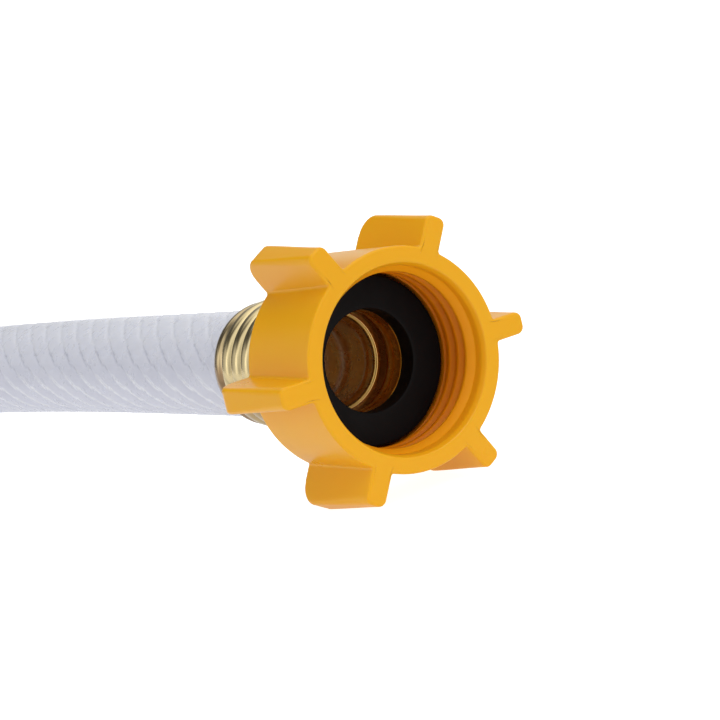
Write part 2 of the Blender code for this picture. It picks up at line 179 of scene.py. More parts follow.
def fill(points, longest):
    """Adds points so that no run is longer than longest."""
    out = [points[0]]
    for a, b in zip(points, points[1:]):
        n = max(1, int(math.ceil(math.dist(a, b) / longest)))
        for k in range(1, n + 1):
            out.append((a[0] + (b[0] - a[0]) * k / n, a[1] + (b[1] - a[1]) * k / n))
    return out


def turn_points(profile, origin, segments, phase=0.0):
    """Points of a turned form: profile is (depth, radius) in mm, and depth runs towards -X."""
    ang = np.arange(segments) * 2 * math.pi / segments + phase
    depth = np.array([p[0] for p in profile])[:, None]
    radius = np.array([p[1] for p in profile])[:, None]
    x = origin[0] - np.repeat(depth, segments, 1)
    y = origin[1] + radius * np.cos(ang)
    z = origin[2] + radius * np.sin(ang)
    return np.stack([x, y, z], -1).reshape(-1, 3)


def lathe(name, outer, inner, origin, segments=128, sharp=38.0):
    """A closed turned ring from an outer and an inner profile, both front to back."""
    section = list(outer) + list(reversed(inner))
    verts = turn_points(section, origin, segments)
    obj = mesh_object(name, verts, grid_faces(len(section), segments, close_rows=True))
    face_out(obj)
    return soft_shade(obj, sharp)


def lathe_disc(name, profile, origin, segments=96, sharp=38.0):
    """A closed turned solid whose profile starts and ends on the axis."""
    middle = list(profile)[1:-1]
    verts = list(turn_points(middle, origin, segments))
    faces = grid_faces(len(middle), segments)
    first, last = len(verts), len(verts) + 1
    verts.append((origin[0] - profile[0][0], origin[1], origin[2]))
    verts.append((origin[0] - profile[-1][0], origin[1], origin[2]))
    base = (len(middle) - 1) * segments
    for j in range(segments):
        k = (j + 1) % segments
        faces.append((first, k, j))
        faces.append((last, base + j, base + k))
    obj = mesh_object(name, verts, faces)
    face_out(obj)
    return soft_shade(obj, sharp)


def polar(name, outer_fn, stations, inner, origin, segments, sharp=38.0, angles=None):
    """A closed form whose outer wall is radius(angle, depth), with a turned bore."""
    ang = np.arange(segments) * 2 * math.pi / segments if angles is None else np.array(angles)
    rows = []
    for s in stations:
        r = outer_fn(ang, s)
        rows.append(np.stack([np.full_like(ang, origin[0] - s), origin[1] + r * np.cos(ang), origin[2] + r * np.sin(ang)], -1))
    for s, r in reversed(inner):
        rows.append(np.stack([np.full_like(ang, origin[0] - s), origin[1] + r * np.cos(ang), origin[2] + r * np.sin(ang)], -1))
    verts = np.concatenate(rows)
    obj = mesh_object(name, verts, grid_faces(len(rows), len(ang), close_rows=True))
    face_out(obj)
    return soft_shade(obj, sharp)


def smoothstep(x, a, b):
    t = np.clip((np.asarray(x, float) - a) / (b - a), 0, 1)
    return t * t * (3 - 2 * t)


# ------------------------------------------------------------------ material helpers
class Look:
    """A node material, with the object's own coordinates at hand."""

    def __init__(self, name):
        self.mat = bpy.data.materials.new(name)
        self.mat.use_nodes = True
        self.tree = self.mat.node_tree
        self.shader = self.tree.nodes["Principled BSDF"]
        self.coords = self.tree.nodes.new("ShaderNodeTexCoord").outputs["Object"]

    def set(self, **values):
        for key, value in values.items():
            self.shader.inputs[key.replace("_", " ")].default_value = value
        return self

    def link(self, a, b):
        self.tree.links.new(a, b)

    def mapped(self, scale, origin=(0.0, 0.0, 0.0)):
        node = self.tree.nodes.new("ShaderNodeMapping")
        node.inputs["Location"].default_value = [-o * s for o, s in zip(origin, scale)]
        node.inputs["Scale"].default_value = scale
        self.link(self.coords, node.inputs["Vector"])
        return node.outputs["Vector"]

    def noise(self, scale, detail=3.0, rough=0.5, vector=None):
        node = self.tree.nodes.new("ShaderNodeTexNoise")
        node.inputs["Scale"].default_value = scale
        node.inputs["Detail"].default_value = detail
        node.inputs["Roughness"].default_value = rough
        self.link(self.coords if vector is None else vector, node.inputs["Vector"])
        return node.outputs["Fac"]

    def ramp(self, value, stops):
        node = self.tree.nodes.new("ShaderNodeValToRGB")
        ramp = node.color_ramp
        while len(ramp.elements) < len(stops):
            ramp.elements.new(0.5)
        for element, (at, colour) in zip(ramp.elements, stops):
            element.position = at
            element.color = (*colour, 1.0)
        self.link(value, node.inputs["Fac"])
        return node.outputs["Color"]

    def span(self, value, low, high, from_low=0.3, from_high=0.7):
        node = self.tree.nodes.new("ShaderNodeMapRange")
        node.inputs["From Min"].default_value = from_low
        node.inputs["From Max"].default_value = from_high
        node.inputs["To Min"].default_value = low
        node.inputs["To Max"].default_value = high
        self.link(value, node.inputs["Value"])
        return node.outputs["Result"]

    def mix(self, factor, a, b, mode="MIX"):
        node = self.tree.nodes.new("ShaderNodeMix")
        node.data_type = "RGBA"
        node.blend_type = mode
        if isinstance(factor, (int, float)):
            node.inputs[0].default_value = factor
        else:
            self.link(factor, node.inputs[0])
        for socket, value in ((node.inputs[6], a), (node.inputs[7], b)):
            if isinstance(value, tuple):
                socket.default_value = (*value, 1.0)
            else:
                self.link(value, socket)
        return node.outputs[2]

    def maths(self, operation, a, b):
        node = self.tree.nodes.new("ShaderNodeMath")
        node.operation = operation
        for socket, value in ((node.inputs[0], a), (node.inputs[1], b)):
            if isinstance(value, (int, float)):
                socket.default_value = value
            else:
                self.link(value, socket)
        return node.outputs[0]

    def attribute(self, name):
        node = self.tree.nodes.new("ShaderNodeAttribute")
        node.attribute_name = name
        return node.outputs["Fac"]

    def colour(self, source):
        self.link(source, self.shader.inputs["Base Color"])
        return self

    def rough(self, source):
        self.link(source, self.shader.inputs["Roughness"])
        return self

    def bump(self, height, distance, strength=1.0, below=None):
        node = self.tree.nodes.new("ShaderNodeBump")
        node.inputs["Strength"].default_value = strength
        node.inputs["Distance"].default_value = distance
        self.link(height, node.inputs["Height"])
        if below is not None:
            self.link(below, node.inputs["Normal"])
        self.link(node.outputs["Normal"], self.shader.inputs["Normal"])
        return node.outputs["Normal"]


def amber_plastic():
    look = Look("moulded_amber_plastic")
    look.set(IOR=1.49, Subsurface_Weight=0.15, Subsurface_Radius=(0.0022, 0.0008, 0.0002), Subsurface_Scale=1.0)
    flow = look.noise(38.0, 2.0, 0.5, look.mapped((0.35, 1.0, 1.0)))
    skin_tone = look.ramp(flow, [(0.30, (0.850, 0.404, 0.0025)), (0.70, (0.870, 0.424, 0.0040))])
    inside = look.attribute("inside")
    # Painted shade: deeper in the mouth the amber turns a darker, redder tone and its specular fades, where the rim
    # shades it.
    painted_mouth_shade = look.ramp(inside, [(0.0, (0.880, 0.420, 0.008)), (0.35, (0.920, 0.375, 0.008)), (1.0, (0.680, 0.195, 0.0012))])
    look.colour(look.mix(look.span(inside, 0.0, 1.0, 0.0, 0.06), skin_tone, painted_mouth_shade))
    look.link(look.span(inside, 0.31, 0.10, 0.0, 1.0), look.shader.inputs["Specular IOR Level"])
    look.rough(look.span(look.noise(90.0, 2.0, 0.5), 0.27, 0.33))
    skin = look.bump(look.noise(120.0, 1.0, 0.4), 0.00004, 0.12)
    look.bump(look.noise(2600.0, 3.0, 0.6), 0.000004, 0.35, below=skin)
    return look.mat


def washer_rubber():
    look = Look("matt_black_rubber")
    look.set(IOR=1.5, Specular_IOR_Level=0.13)
    cloud = look.noise(90.0, 4.0, 0.6)
    specks = look.noise(1900.0, 3.0, 0.7)
    base = look.ramp(cloud, [(0.30, (0.0018, 0.0015, 0.0016)), (0.72, (0.0034, 0.0030, 0.0033))])
    look.colour(look.mix(look.span(specks, 0.0, 0.20, 0.55, 0.80), base, (0.009, 0.009, 0.010)))
    look.rough(look.span(look.noise(260.0, 3.0, 0.6), 0.46, 0.62))
    first = look.bump(look.noise(520.0, 3.0, 0.6), 0.00005, 0.5)
    look.bump(specks, 0.00002, 0.5, below=first)
    return look.mat


def brass(name, low, high, rough_low, rough_high, rings=0.000006, ring_scale=2600.0, tarnish=0.25, lip_and_painted_shade=False):
    """Turned brass: fine machining rings across the axis, and a little tarnish."""
    look = Look(name)
    look.set(Metallic=1.0, IOR=1.45)
    cloud = look.noise(120.0, 4.0, 0.6)
    base = look.ramp(cloud, [(0.30, low), (0.70, high)])
    spots = look.noise(600.0, 5.0, 0.65)
    toned = look.mix(look.span(spots, 0.0, tarnish, 0.52, 0.75), base, tuple(0.55 * c for c in low))
    # Painted shade where the mesh asks for it: a darker brown on the ferrule's lip and underside.
    if lip_and_painted_shade:
        toned = look.mix(look.span(look.attribute("darkened"), 0.0, 1.0, 0.0, 1.0), toned, (0.30, 0.19, 0.105))
    look.colour(toned)
    look.rough(look.span(look.noise(340.0, 4.0, 0.6), rough_low, rough_high))
    turned = look.noise(1.0, 2.0, 0.6, look.mapped((ring_scale, 45.0, 45.0)))
    first = look.bump(turned, rings, 0.8)
    look.bump(look.noise(1500.0, 3.0, 0.6), 0.000004, 0.6, below=first)
    return look.mat


def bored_brass():
    """The stem's brass, coloured zone by zone with painted light and shade: darker in the counterbore and the undercut,
    where shade falls, and paler on the rounded step and the ripple crests, as painted highlights.
    """
    look = Look("drilled_brass")
    look.set(Metallic=1.0, IOR=1.45)
    painted_light_and_shade = look.attribute("painted_light_and_shade")
    base = look.ramp(painted_light_and_shade, [(0.0, (0.34, 0.105, 0.010)), (0.25, (0.88, 0.42, 0.035)), (0.5, (0.90, 0.49, 0.095)), (0.72, (0.94, 0.66, 0.37)), (1.0, (0.54, 0.385, 0.120))])
    spots = look.noise(420.0, 5.0, 0.65)
    darkened = look.mix(1.0, base, (0.70, 0.62, 0.55), "MULTIPLY")
    look.colour(look.mix(look.span(spots, 0.0, 0.20, 0.50, 0.75), base, darkened))
    look.rough(look.span(look.noise(340.0, 4.0, 0.6), 0.22, 0.32))
    turned = look.noise(1.0, 2.0, 0.6, look.mapped((1500.0, 45.0, 45.0)))
    first = look.bump(turned, 0.000008, 0.7)
    look.bump(look.noise(1500.0, 3.0, 0.6), 0.000003, 0.4, below=first)
    return look.mat


def hose_pvc():
    look = Look("milky_braided_pvc")
    look.set(IOR=1.53, Subsurface_Weight=0.20, Subsurface_Radius=(0.0010, 0.0011, 0.0013), Subsurface_Scale=1.0)
    cloud = look.noise(130.0, 3.0, 0.55)
    skin = look.ramp(cloud, [(0.30, (0.575, 0.587, 0.680)), (0.70, (0.625, 0.637, 0.725))])
    # Painted light and shade on the hose: a paler upper half, darker yarn lines on the side that faces out and lighter
    # ones above and below.
    skin = look.mix(look.span(look.attribute("pale"), 0.0, 1.0, 0.0, 1.0), skin, (0.760, 0.775, 0.850))
    yarn = look.mix(look.span(look.attribute("braid_lines_painted_shade"), 0.0, 0.75, 0.15, 1.0), skin, (0.400, 0.410, 0.495))
    look.colour(look.mix(look.span(look.attribute("braid_lines_painted_highlight"), 0.0, 0.95, 0.12, 0.9), yarn, (0.840, 0.850, 0.885)))
    look.rough(look.span(look.noise(420.0, 3.0, 0.6), 0.24, 0.36))
    first = look.bump(look.noise(420.0, 2.0, 0.5), 0.00003, 0.14)
    look.bump(look.noise(2400.0, 1.0, 0.5), 0.000003, 0.05, below=first)
    return look.mat


def steel():
    look = Look("stainless_wire_steel")
    look.set(Metallic=1.0)
    cloud = look.noise(300.0, 4.0, 0.6)
    look.colour(look.ramp(cloud, [(0.30, (0.50, 0.50, 0.51)), (0.70, (0.62, 0.62, 0.63))]))
    look.rough(look.span(look.noise(900.0, 3.0, 0.6), 0.20, 0.36))
    look.bump(look.noise(1.0, 2.0, 0.6, look.mapped((2200.0, 260.0, 260.0))), 0.000005, 0.7)
    return look.mat


def acetal():
    look = Look("white_acetal")
    look.set(IOR=1.48, Subsurface_Weight=0.18, Subsurface_Radius=(0.0015, 0.0014, 0.0012), Subsurface_Scale=1.0)
    cloud = look.noise(140.0, 3.0, 0.5)
    look.colour(look.ramp(cloud, [(0.30, (0.74, 0.735, 0.70)), (0.70, (0.81, 0.805, 0.775))]))
    look.rough(look.span(look.noise(500.0, 3.0, 0.6), 0.34, 0.48))
    look.bump(look.noise(1.0, 2.0, 0.6, look.mapped((2400.0, 60.0, 60.0))), 0.000008, 0.6)
    return look.mat


def seal_rubber():
    look = Look("seal_nitrile")
    look.set(IOR=1.5, Specular_IOR_Level=0.5)
    cloud = look.noise(260.0, 4.0, 0.6)
    look.colour(look.ramp(cloud, [(0.30, (0.012, 0.012, 0.012)), (0.70, (0.026, 0.025, 0.024))]))
    look.rough(look.span(look.noise(700.0, 3.0, 0.6), 0.38, 0.55))
    look.bump(look.noise(1800.0, 3.0, 0.6), 0.00001, 0.6)
    return look.mat


AMBER = amber_plastic()
RUBBER = washer_rubber()
BRIGHT = brass("bright_rolled_brass", (0.720, 0.580, 0.310), (0.780, 0.640, 0.355), 0.13, 0.19, tarnish=0.12, lip_and_painted_shade=True)
BORE = bored_brass()
TURNED = brass("turned_brass", (0.70, 0.50, 0.21), (0.82, 0.62, 0.30), 0.20, 0.32, rings=0.000009, ring_scale=2300.0)
PVC = hose_pvc()
STEEL = steel()
ACETAL = acetal()
SEAL = seal_rubber()


def dress(obj, mat, body, slot, *nodes):
    """Gives a piece its material and its body, and hides the CAD nodes that it stands for; slot is not used."""
    obj.data.materials.clear()
    obj.data.materials.append(mat)
    if body is not None:
        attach(obj, body)
    if nodes:
        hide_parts(*nodes)
    return obj


# ------------------------------------------------------------------ hose
def hose_offset(t):
    ease = t * t * t * (t * (6 * t - 15) + 10)
    arch = 16 * t * t * (1 - t) * (1 - t)
    return (REG_Y - NUT_Y) * ease, (REG_Z - NUT_Z) * ease + 1.25 * arch


def hose_point(t):
    side, up = hose_offset(t)
    return np.array((NUT_X - HOSE_START - HOSE_RUN * t, NUT_Y + side, NUT_Z + up))


CARRIERS = 12
LEAD = 11.6  # mm of hose for each radian that a yarn winds
GROOVE = 0.11  # mm


def braid_height(along, phi):
    """Embossed reinforcement: its height in mm; the yarn lines with painted shade on the side that faces out; the yarn
    lines with painted highlights above and below; and painted light on the upper half, each from 0 to 1.
    """
    per = CARRIERS / (2 * math.pi)
    across = 2 * math.pi * LEAD / CARRIERS * math.sin(math.atan(HOSE_R / LEAD))
    pa = per * (phi - along / LEAD)
    pb = per * (phi + along / LEAD)
    fb = pb - np.floor(pb)
    # Each groove of the steep family runs in short steps, one for each yarn it crosses.
    step = 0.13 * (fb - 0.5) * (1 - smoothstep(np.abs(fb - 0.5), 0.40, 0.5))
    ua = pa - step
    fu = ua - np.floor(ua)
    ia, ib = np.floor(ua), np.floor(pb)
    near_a = (0.5 - np.abs(fu - 0.5)) * across
    near_b = (0.5 - np.abs(fb - 0.5)) * across
    groove_a = np.exp(-((near_a / 0.34) ** 2))
    groove_b = np.exp(-((near_b / 0.30) ** 2))
    over = 0.5 + 0.5 * np.tanh(2.4 * np.cos(math.pi * (pb + ia - 0.5)))
    under = 0.5 + 0.5 * np.tanh(2.4 * np.cos(math.pi * (ua + ib + 0.5)))
    crown_a = 1 - np.abs(2 * fu - 1) ** 2.4
    crown_b = 1 - np.abs(2 * fb - 1) ** 2.4
    # The wall beside a groove stands a little proud on its far side.
    beside = np.where(fu < 0.5, np.exp(-(((near_a - 0.62) / 0.26) ** 2)), 0.0)
    line = groove_a * (0.12 + 0.88 * over) + 0.25 * groove_b * under
    # The yarn lines are the pattern: painted shade darkens them on the side that faces out, and painted highlights
    # lighten them above and below, less on top.
    facing = np.exp(-(((((phi - 0.36 + math.pi) % (2 * math.pi)) - math.pi) / 0.36) ** 4))
    dark = line * (0.15 + 0.85 * facing)
    upper = smoothstep(np.sin(phi), 0.55, 0.80)
    light = np.clip(line + 0.5 * beside, 0, 1) * (1.0 - 0.85 * facing) * (1.0 - 0.68 * upper)
    height = 0.05 * crown_a + 0.03 * crown_b - GROOVE * groove_a * (0.30 + 0.70 * over) - 0.32 * GROOVE * groove_b * under + 0.035 * beside
    # Painted light: the upper half of the hose is paler, as if lit from above.
    pale = smoothstep(np.sin(phi), -0.05, 0.95) + 0 * height
    return height, np.clip(dark, 0, 1), np.clip(light, 0, 1), pale


def supply_hose():
    around = 176
    ts = np.concatenate([np.linspace(0, 0.5, 310)[:-1], np.linspace(0.5, 1, 236)])
    rows = len(ts) - 1
    centre = np.array([hose_point(t) for t in ts])
    ahead = np.gradient(centre, axis=0)
    ahead /= np.linalg.norm(ahead, axis=1)[:, None]
    along = np.concatenate([[0], np.cumsum(np.linalg.norm(np.diff(centre, axis=0), axis=1))]) + HOSE_START
    side = np.cross(np.array([0.0, 0.0, 1.0]), ahead)
    side /= np.linalg.norm(side, axis=1)[:, None]
    up = np.cross(ahead, side)
    phi = np.arange(around) * 2 * math.pi / around
    # ahead is -X here, so side is -Y: phi 0 faces the camera's side and grows upwards.
    height, dark, light, pale = braid_height(along[:, None], phi[None, :])
    ends = np.minimum(smoothstep(along, HOSE_START + 1.5, HOSE_START + 5.5), 1 - smoothstep(along, HOSE_START + HOSE_LENGTH - 5.5, HOSE_START + HOSE_LENGTH - 1.5))
    relief = (height - 0.05) * (0.2 + 0.8 * ends[:, None])
    radius = HOSE_R + relief
    # The wall swells a little beside each ferrule, where the crimp squeezes it out.
    swell = 0.20 * np.exp(-(((along - 41.8) / 2.2) ** 2)) + 0.20 * np.exp(-(((along - (HOSE_START + HOSE_LENGTH - 3.5)) / 2.2) ** 2))
    radius = radius + swell[:, None]
    ring = side[:, None, :] * np.cos(phi)[None, :, None] + up[:, None, :] * np.sin(phi)[None, :, None]
    points = centre[:, None, :] + ring * radius[..., None]
    verts = list(points.reshape(-1, 3))
    faces = grid_faces(rows + 1, around)
    # Cut ends: a wall ring and a bore plug, so that the tube is closed and reads as a hose.
    for row, s in ((0, 0.0), (rows, 0.0)):
        base = len(verts)
        inner = centre[row] + ring[row] * 6.0
        verts += list(inner)
        cap = len(verts)
        verts.append(centre[row])
        for j in range(around):
            k = (j + 1) % around
            faces.append((row * around + j, row * around + k, base + k, base + j))
            faces.append((base + j, base + k, cap))
    obj = mesh_object("braided_supply_hose", np.array(verts), faces)
    face_out(obj)
    obj.data.set_sharp_from_angle(angle=math.radians(60))
    # These attributes carry painted shade, painted highlights and painted light on the hose.
    for label, painted_light_and_shade in (("braid_lines_painted_shade", dark), ("braid_lines_painted_highlight", light), ("pale", pale)):
        shade = obj.data.attributes.new(label, "FLOAT", "POINT")
        values = np.zeros(len(obj.data.vertices), np.float32)
        values[: painted_light_and_shade.size] = (painted_light_and_shade * (1.0 if label == "pale" else ends[:, None])).reshape(-1)
        shade.data.foreach_set("value", values)
    dress(obj, PVC, "regulator", "hose_pvc", "supply_hose")
    path = [tuple(p * MM) for p in centre[:: max(1, rows // 160)]]
    if np.linalg.norm(np.array(path[-1]) - centre[-1] * MM) > 1e-6:
        path.append(tuple(centre[-1] * MM))
    return obj


supply_hose()


# ------------------------------------------------------------------ swivel nut
R_NUT = 16.2
WING_FRONT, WING_BACK, NUT_LEN, WING_LEN = 21.12, 21.98, 17.5, 17.1
HALF_FRONT, HALF_DRAFT, TAPER = 1.66, 0.0222, 0.006
ROOT_FILLET = 0.45
CORNER = 2.8


def wing_half(s):
    """Half a wing's thickness at depth s: the mould's draft makes it thicker towards the back."""
    return HALF_FRONT + HALF_DRAFT * s


def tip_fillet(s):
    """The tip's rounding, softer at the mouth than at the back."""
    return 1.12 - 0.46 * float(smoothstep(s, 1.0, 14.0))


def wing_tip(s):
    """Outer radius of the wings at depth s."""
    if s > WING_LEN - CORNER:
        into = min(s - (WING_LEN - CORNER), CORNER)
        return WING_BACK - CORNER + math.sqrt(max(CORNER * CORNER - into * into, 0.0))
    return WING_FRONT + (WING_BACK - WING_FRONT) * s / (WING_LEN - CORNER)


def half_sector(tip, s):
    """Half a sector's outline, from a wing's middle to half way to the next: (point, outward normal, share of wing)."""
    out = []
    root = wing_half(s)
    half = lambda a: root - TAPER * (a - R_NUT)
    rt = min(tip_fillet(s), half(tip) - 0.12, 0.8 * (tip - R_NUT))
    ca = tip - rt
    cb = half(ca) - rt
    top_ang = math.atan2(cb, ca)
    for k in range(4):
        w = top_ang * k / 4
        out.append(((tip * math.cos(w), tip * math.sin(w)), (math.cos(w), math.sin(w)), 1.0))
    lean = math.atan(TAPER)
    for k in range(9):
        w = top_ang + (math.pi / 2 - lean - top_ang) * k / 8
        out.append(((ca + rt * math.cos(w), cb + rt * math.sin(w)), (math.cos(w), math.sin(w)), 1.0))
    side_n = (math.sin(lean), math.cos(lean))
    rf = ROOT_FILLET
    fb = root + rf
    fa = math.sqrt((R_NUT + rf) ** 2 - fb * fb)
    start, stop = (ca + rt * side_n[0], cb + rt * side_n[1]), (fa, half(fa))
    for k in range(1, 9):
        t = k / 9
        out.append(((start[0] + (stop[0] - start[0]) * t, start[1] + (stop[1] - start[1]) * t), side_n, 1.0))
    a0 = -math.pi / 2
    a1 = math.atan2(-fb, -fa)
    for k in range(7):
        w = a0 + (a1 - a0) * k / 6
        p = (fa + rf * math.cos(w), fb + rf * math.sin(w))
        out.append((p, (-math.cos(w), -math.sin(w)), 1.0 - k / 6))
    first = math.atan2(fb, fa)
    for k in range(1, 9):
        w = first + (math.radians(30) - first) * k / 8
        out.append(((R_NUT * math.cos(w), R_NUT * math.sin(w)), (math.cos(w), math.sin(w)), 0.0))
    return out


def full_outline(tip, s):
    """The whole outline: points, outward normals, share of wing and the angle on the nut's circle that each point belongs to."""
    half = half_sector(tip, s)
    n = len(half)
    wing_count = 4 + 9 + 8 + 7
    edge = math.atan2(half[wing_count - 1][0][1], half[wing_count - 1][0][0])
    circle = []
    for i, (p, _, _) in enumerate(half):
        circle.append(edge * (i / (wing_count - 1)) if i < wing_count else math.atan2(p[1], p[0]))
    pts, nrm, share, ang = [], [], [], []
    order = [(i, 1) for i in range(n)] + [(i, -1) for i in range(n - 2, 0, -1)]
    for w in range(6):
        turn = math.radians(60 * w)
        c, s = math.cos(turn), math.sin(turn)
        seq = [(i, 1) for i in range(n)]
        nxt = math.radians(60 * (w + 1))
        c2, s2 = math.cos(nxt), math.sin(nxt)
        for i in range(n):
            (a, b), (u, v), q = half[i]
            pts.append((a * c - b * s, a * s + b * c))
            nrm.append((u * c - v * s, u * s + v * c))
            share.append(q)
            ang.append(turn + circle[i])
        for i in range(n - 2, 0, -1):
            (a, b), (u, v), q = half[i]
            b, v = -b, -v
            pts.append((a * c2 - b * s2, a * s2 + b * c2))
            nrm.append((u * c2 - v * s2, u * s2 + v * c2))
            share.append(q)
            ang.append(nxt - circle[i])
    return np.array(pts), np.array(nrm), np.array(share), np.array(ang)


def arc_steps(radius, count):
    """(depth from the face, inset) round an edge of this radius, from the face to the wall."""
    out = []
    for k in range(count + 1):
        w = 0.5 * math.pi * k / count
        out.append((radius * (1 - math.cos(w)), radius * (1 - math.sin(w))))
    return out


THREAD_PITCH = 2.209


THREAD_START, THREAD_ROOT, THREAD_CREST = 2.48, 13.36, 12.66


def thread_wall(ang, s):
    """Radius of the nut's inside wall: a right-hand thread that starts on the far side of the mouth from the label side."""
    around = ((math.pi - np.asarray(ang, float)) % (2 * math.pi)) / (2 * math.pi)
    turns = (s - THREAD_START) / THREAD_PITCH - around
    nearest = np.maximum(np.round(turns), 0)
    off = (turns - nearest) * THREAD_PITCH
    # The first turn is led in by a long straight flank.
    first = np.clip((off + 1.48) / 1.26, 0, 1)
    front = np.where(nearest < 0.5, first, smoothstep(off, -1.02, -0.17))
    back = 1 - smoothstep(off, 0.20, 0.66)
    begun = smoothstep(nearest + around, 0.0, 0.14)
    ended = 1 - smoothstep(THREAD_START + THREAD_PITCH * (nearest + around), 9.0, 9.7)
    root = 13.45 - (13.45 - THREAD_ROOT) * smoothstep(s, 2.2, 4.2)
    return root - (root - THREAD_CREST) * front * back * begun * ended


def swivel_nut():
    pts0, nrm0, share, ang = full_outline(WING_FRONT, 0.0)
    cols = len(ang)
    cos, sin = np.cos(ang), np.sin(ang)
    rows = []

    def circle(radius, depth):
        rows.append((np.full(cols, depth), radius * cos, radius * sin))

    # The rim's outer edge and the wings' front edges are both rounded, and the wings are flush with the mouth.
    lip = 0.38
    front = 0.0
    edge = 0.42
    circle(14.35, 0.0)
    circle(15.2, 0.0)

    def rim_inset(depth):
        if depth >= lip:
            return 0.0
        return lip - math.sqrt(max(lip * lip - (lip - depth) ** 2, 0.0))

    stations = [front + d for d, _ in arc_steps(edge, 7)]
    deep = list(np.linspace(front + edge, WING_LEN - CORNER, 14)[1:])
    corner_angles = np.linspace(0, 90, 19)[1:]
    tail = [WING_LEN - CORNER + CORNER * math.sin(math.radians(a)) for a in corner_angles]
    # The wall's back edge is rounded over its last 0.9 mm, the wings' back edge over 0.5 mm.
    for depth in stations + deep + [d for d in tail if d < NUT_LEN - 0.93] + list(NUT_LEN - 0.9 + 0.9 * np.sin(np.radians(np.linspace(0, 90, 9)))):
        tip = max(wing_tip(depth), R_NUT + 0.9)
        pts, nrm, share, _ = full_outline(tip, depth)
        if depth < front + edge:
            into = depth - front
            wing_in = edge - math.sqrt(max(edge * edge - (edge - into) ** 2, 0.0))
        elif depth > NUT_LEN - 0.5:
            into = depth - (NUT_LEN - 0.5)
            wing_in = 0.5 - math.sqrt(max(0.25 - into * into, 0.0))
        else:
            wing_in = 0.0
        if depth > NUT_LEN - 0.9:
            into = depth - (NUT_LEN - 0.9)
            wall_in = 0.9 - math.sqrt(max(0.81 - into * into, 0.0))
        else:
            wall_in = rim_inset(depth)
        inset = share * wing_in + (1 - share) * wall_in
        moved = pts - nrm * inset[:, None]
        rows.append((np.full(cols, depth), moved[:, 0], moved[:, 1]))
    circle(14.9, NUT_LEN)
    circle(12.2, NUT_LEN)
    circle(9.55, NUT_LEN)
    circle(9.3, NUT_LEN - 0.08)
    circle(9.2, NUT_LEN - 0.3)
    circle(9.2, 15.95)
    circle(9.35, 15.72)
    circle(9.7, 15.7)
    circle(12.6, 15.7)
    circle(12.95, 15.62)
    circle(13.1, 15.3)
    circle(13.1, 10.05)
    circle(13.05, 9.86)
    for depth in np.arange(9.80, 1.55, -0.105):
        end = 1 - smoothstep(depth, 9.62, 9.80)
        r = thread_wall(ang, depth)
        r = 13.05 - (13.05 - r) * end
        rows.append((np.full(cols, depth), r * cos, r * sin))
    for depth, radius in ((1.5, 13.45), (0.95, 13.46), (0.80, 13.49), (0.68, 13.54), (0.30, 13.72), (0.20, 13.77), (0.10, 13.84), (0.03, 13.93), (0.0, 14.06)):
        circle(radius, depth)

    verts = []
    for depth, y, z in rows:
        verts.append(np.stack([NUT_X - depth, NUT_Y + y, NUT_Z + z], -1))
    verts = np.concatenate(verts)
    obj = mesh_object("winged_swivel_nut", verts, grid_faces(len(rows), cols, close_rows=True))
    face_out(obj)
    soft_shade(obj, 48.0)
    # How deep each point lies inside the mouth, from 0 at the lip to 1 beside the washer; the amber uses it for painted
    # shade that darkens the mouth's wall with depth.
    points = np.array([v.co for v in obj.data.vertices]) / MM
    depth = NUT_X - points[:, 0]
    radius = np.hypot(points[:, 1] - NUT_Y, points[:, 2] - NUT_Z)
    inside = np.where((radius < 13.9) & (depth > 0.02), 0.05 + 0.25 * smoothstep(depth, 0.3, 1.4) + 0.70 * smoothstep(depth, 1.6, 6.4), 0.0)
    shade = obj.data.attributes.new("inside", "FLOAT", "POINT")
    shade.data.foreach_set("value", inside.astype(np.float32))
    return dress(obj, AMBER, "nut", "amber_plastic", "swivel_nut")


swivel_nut()


# ------------------------------------------------------------------ washer, stem and ferrules
def hose_washer():
    outer = rounded([(9.8, 8.4), (9.8, 12.62), (13.13, 12.62), (13.13, 8.2)], [0, 0.35, 0.3, 0], 5)
    inner = rounded([(9.8, 8.4), (9.8, 7.556), (13.13, 7.556), (13.13, 8.2)], [0, 0.30, 0.2, 0], 5)
    obj = lathe("hose_washer_ring", fill(outer, 1.2), fill(inner[1:-1], 0.9), NUT, 160)
    return dress(obj, RUBBER, "nut", "washer_rubber", "hose_washer")


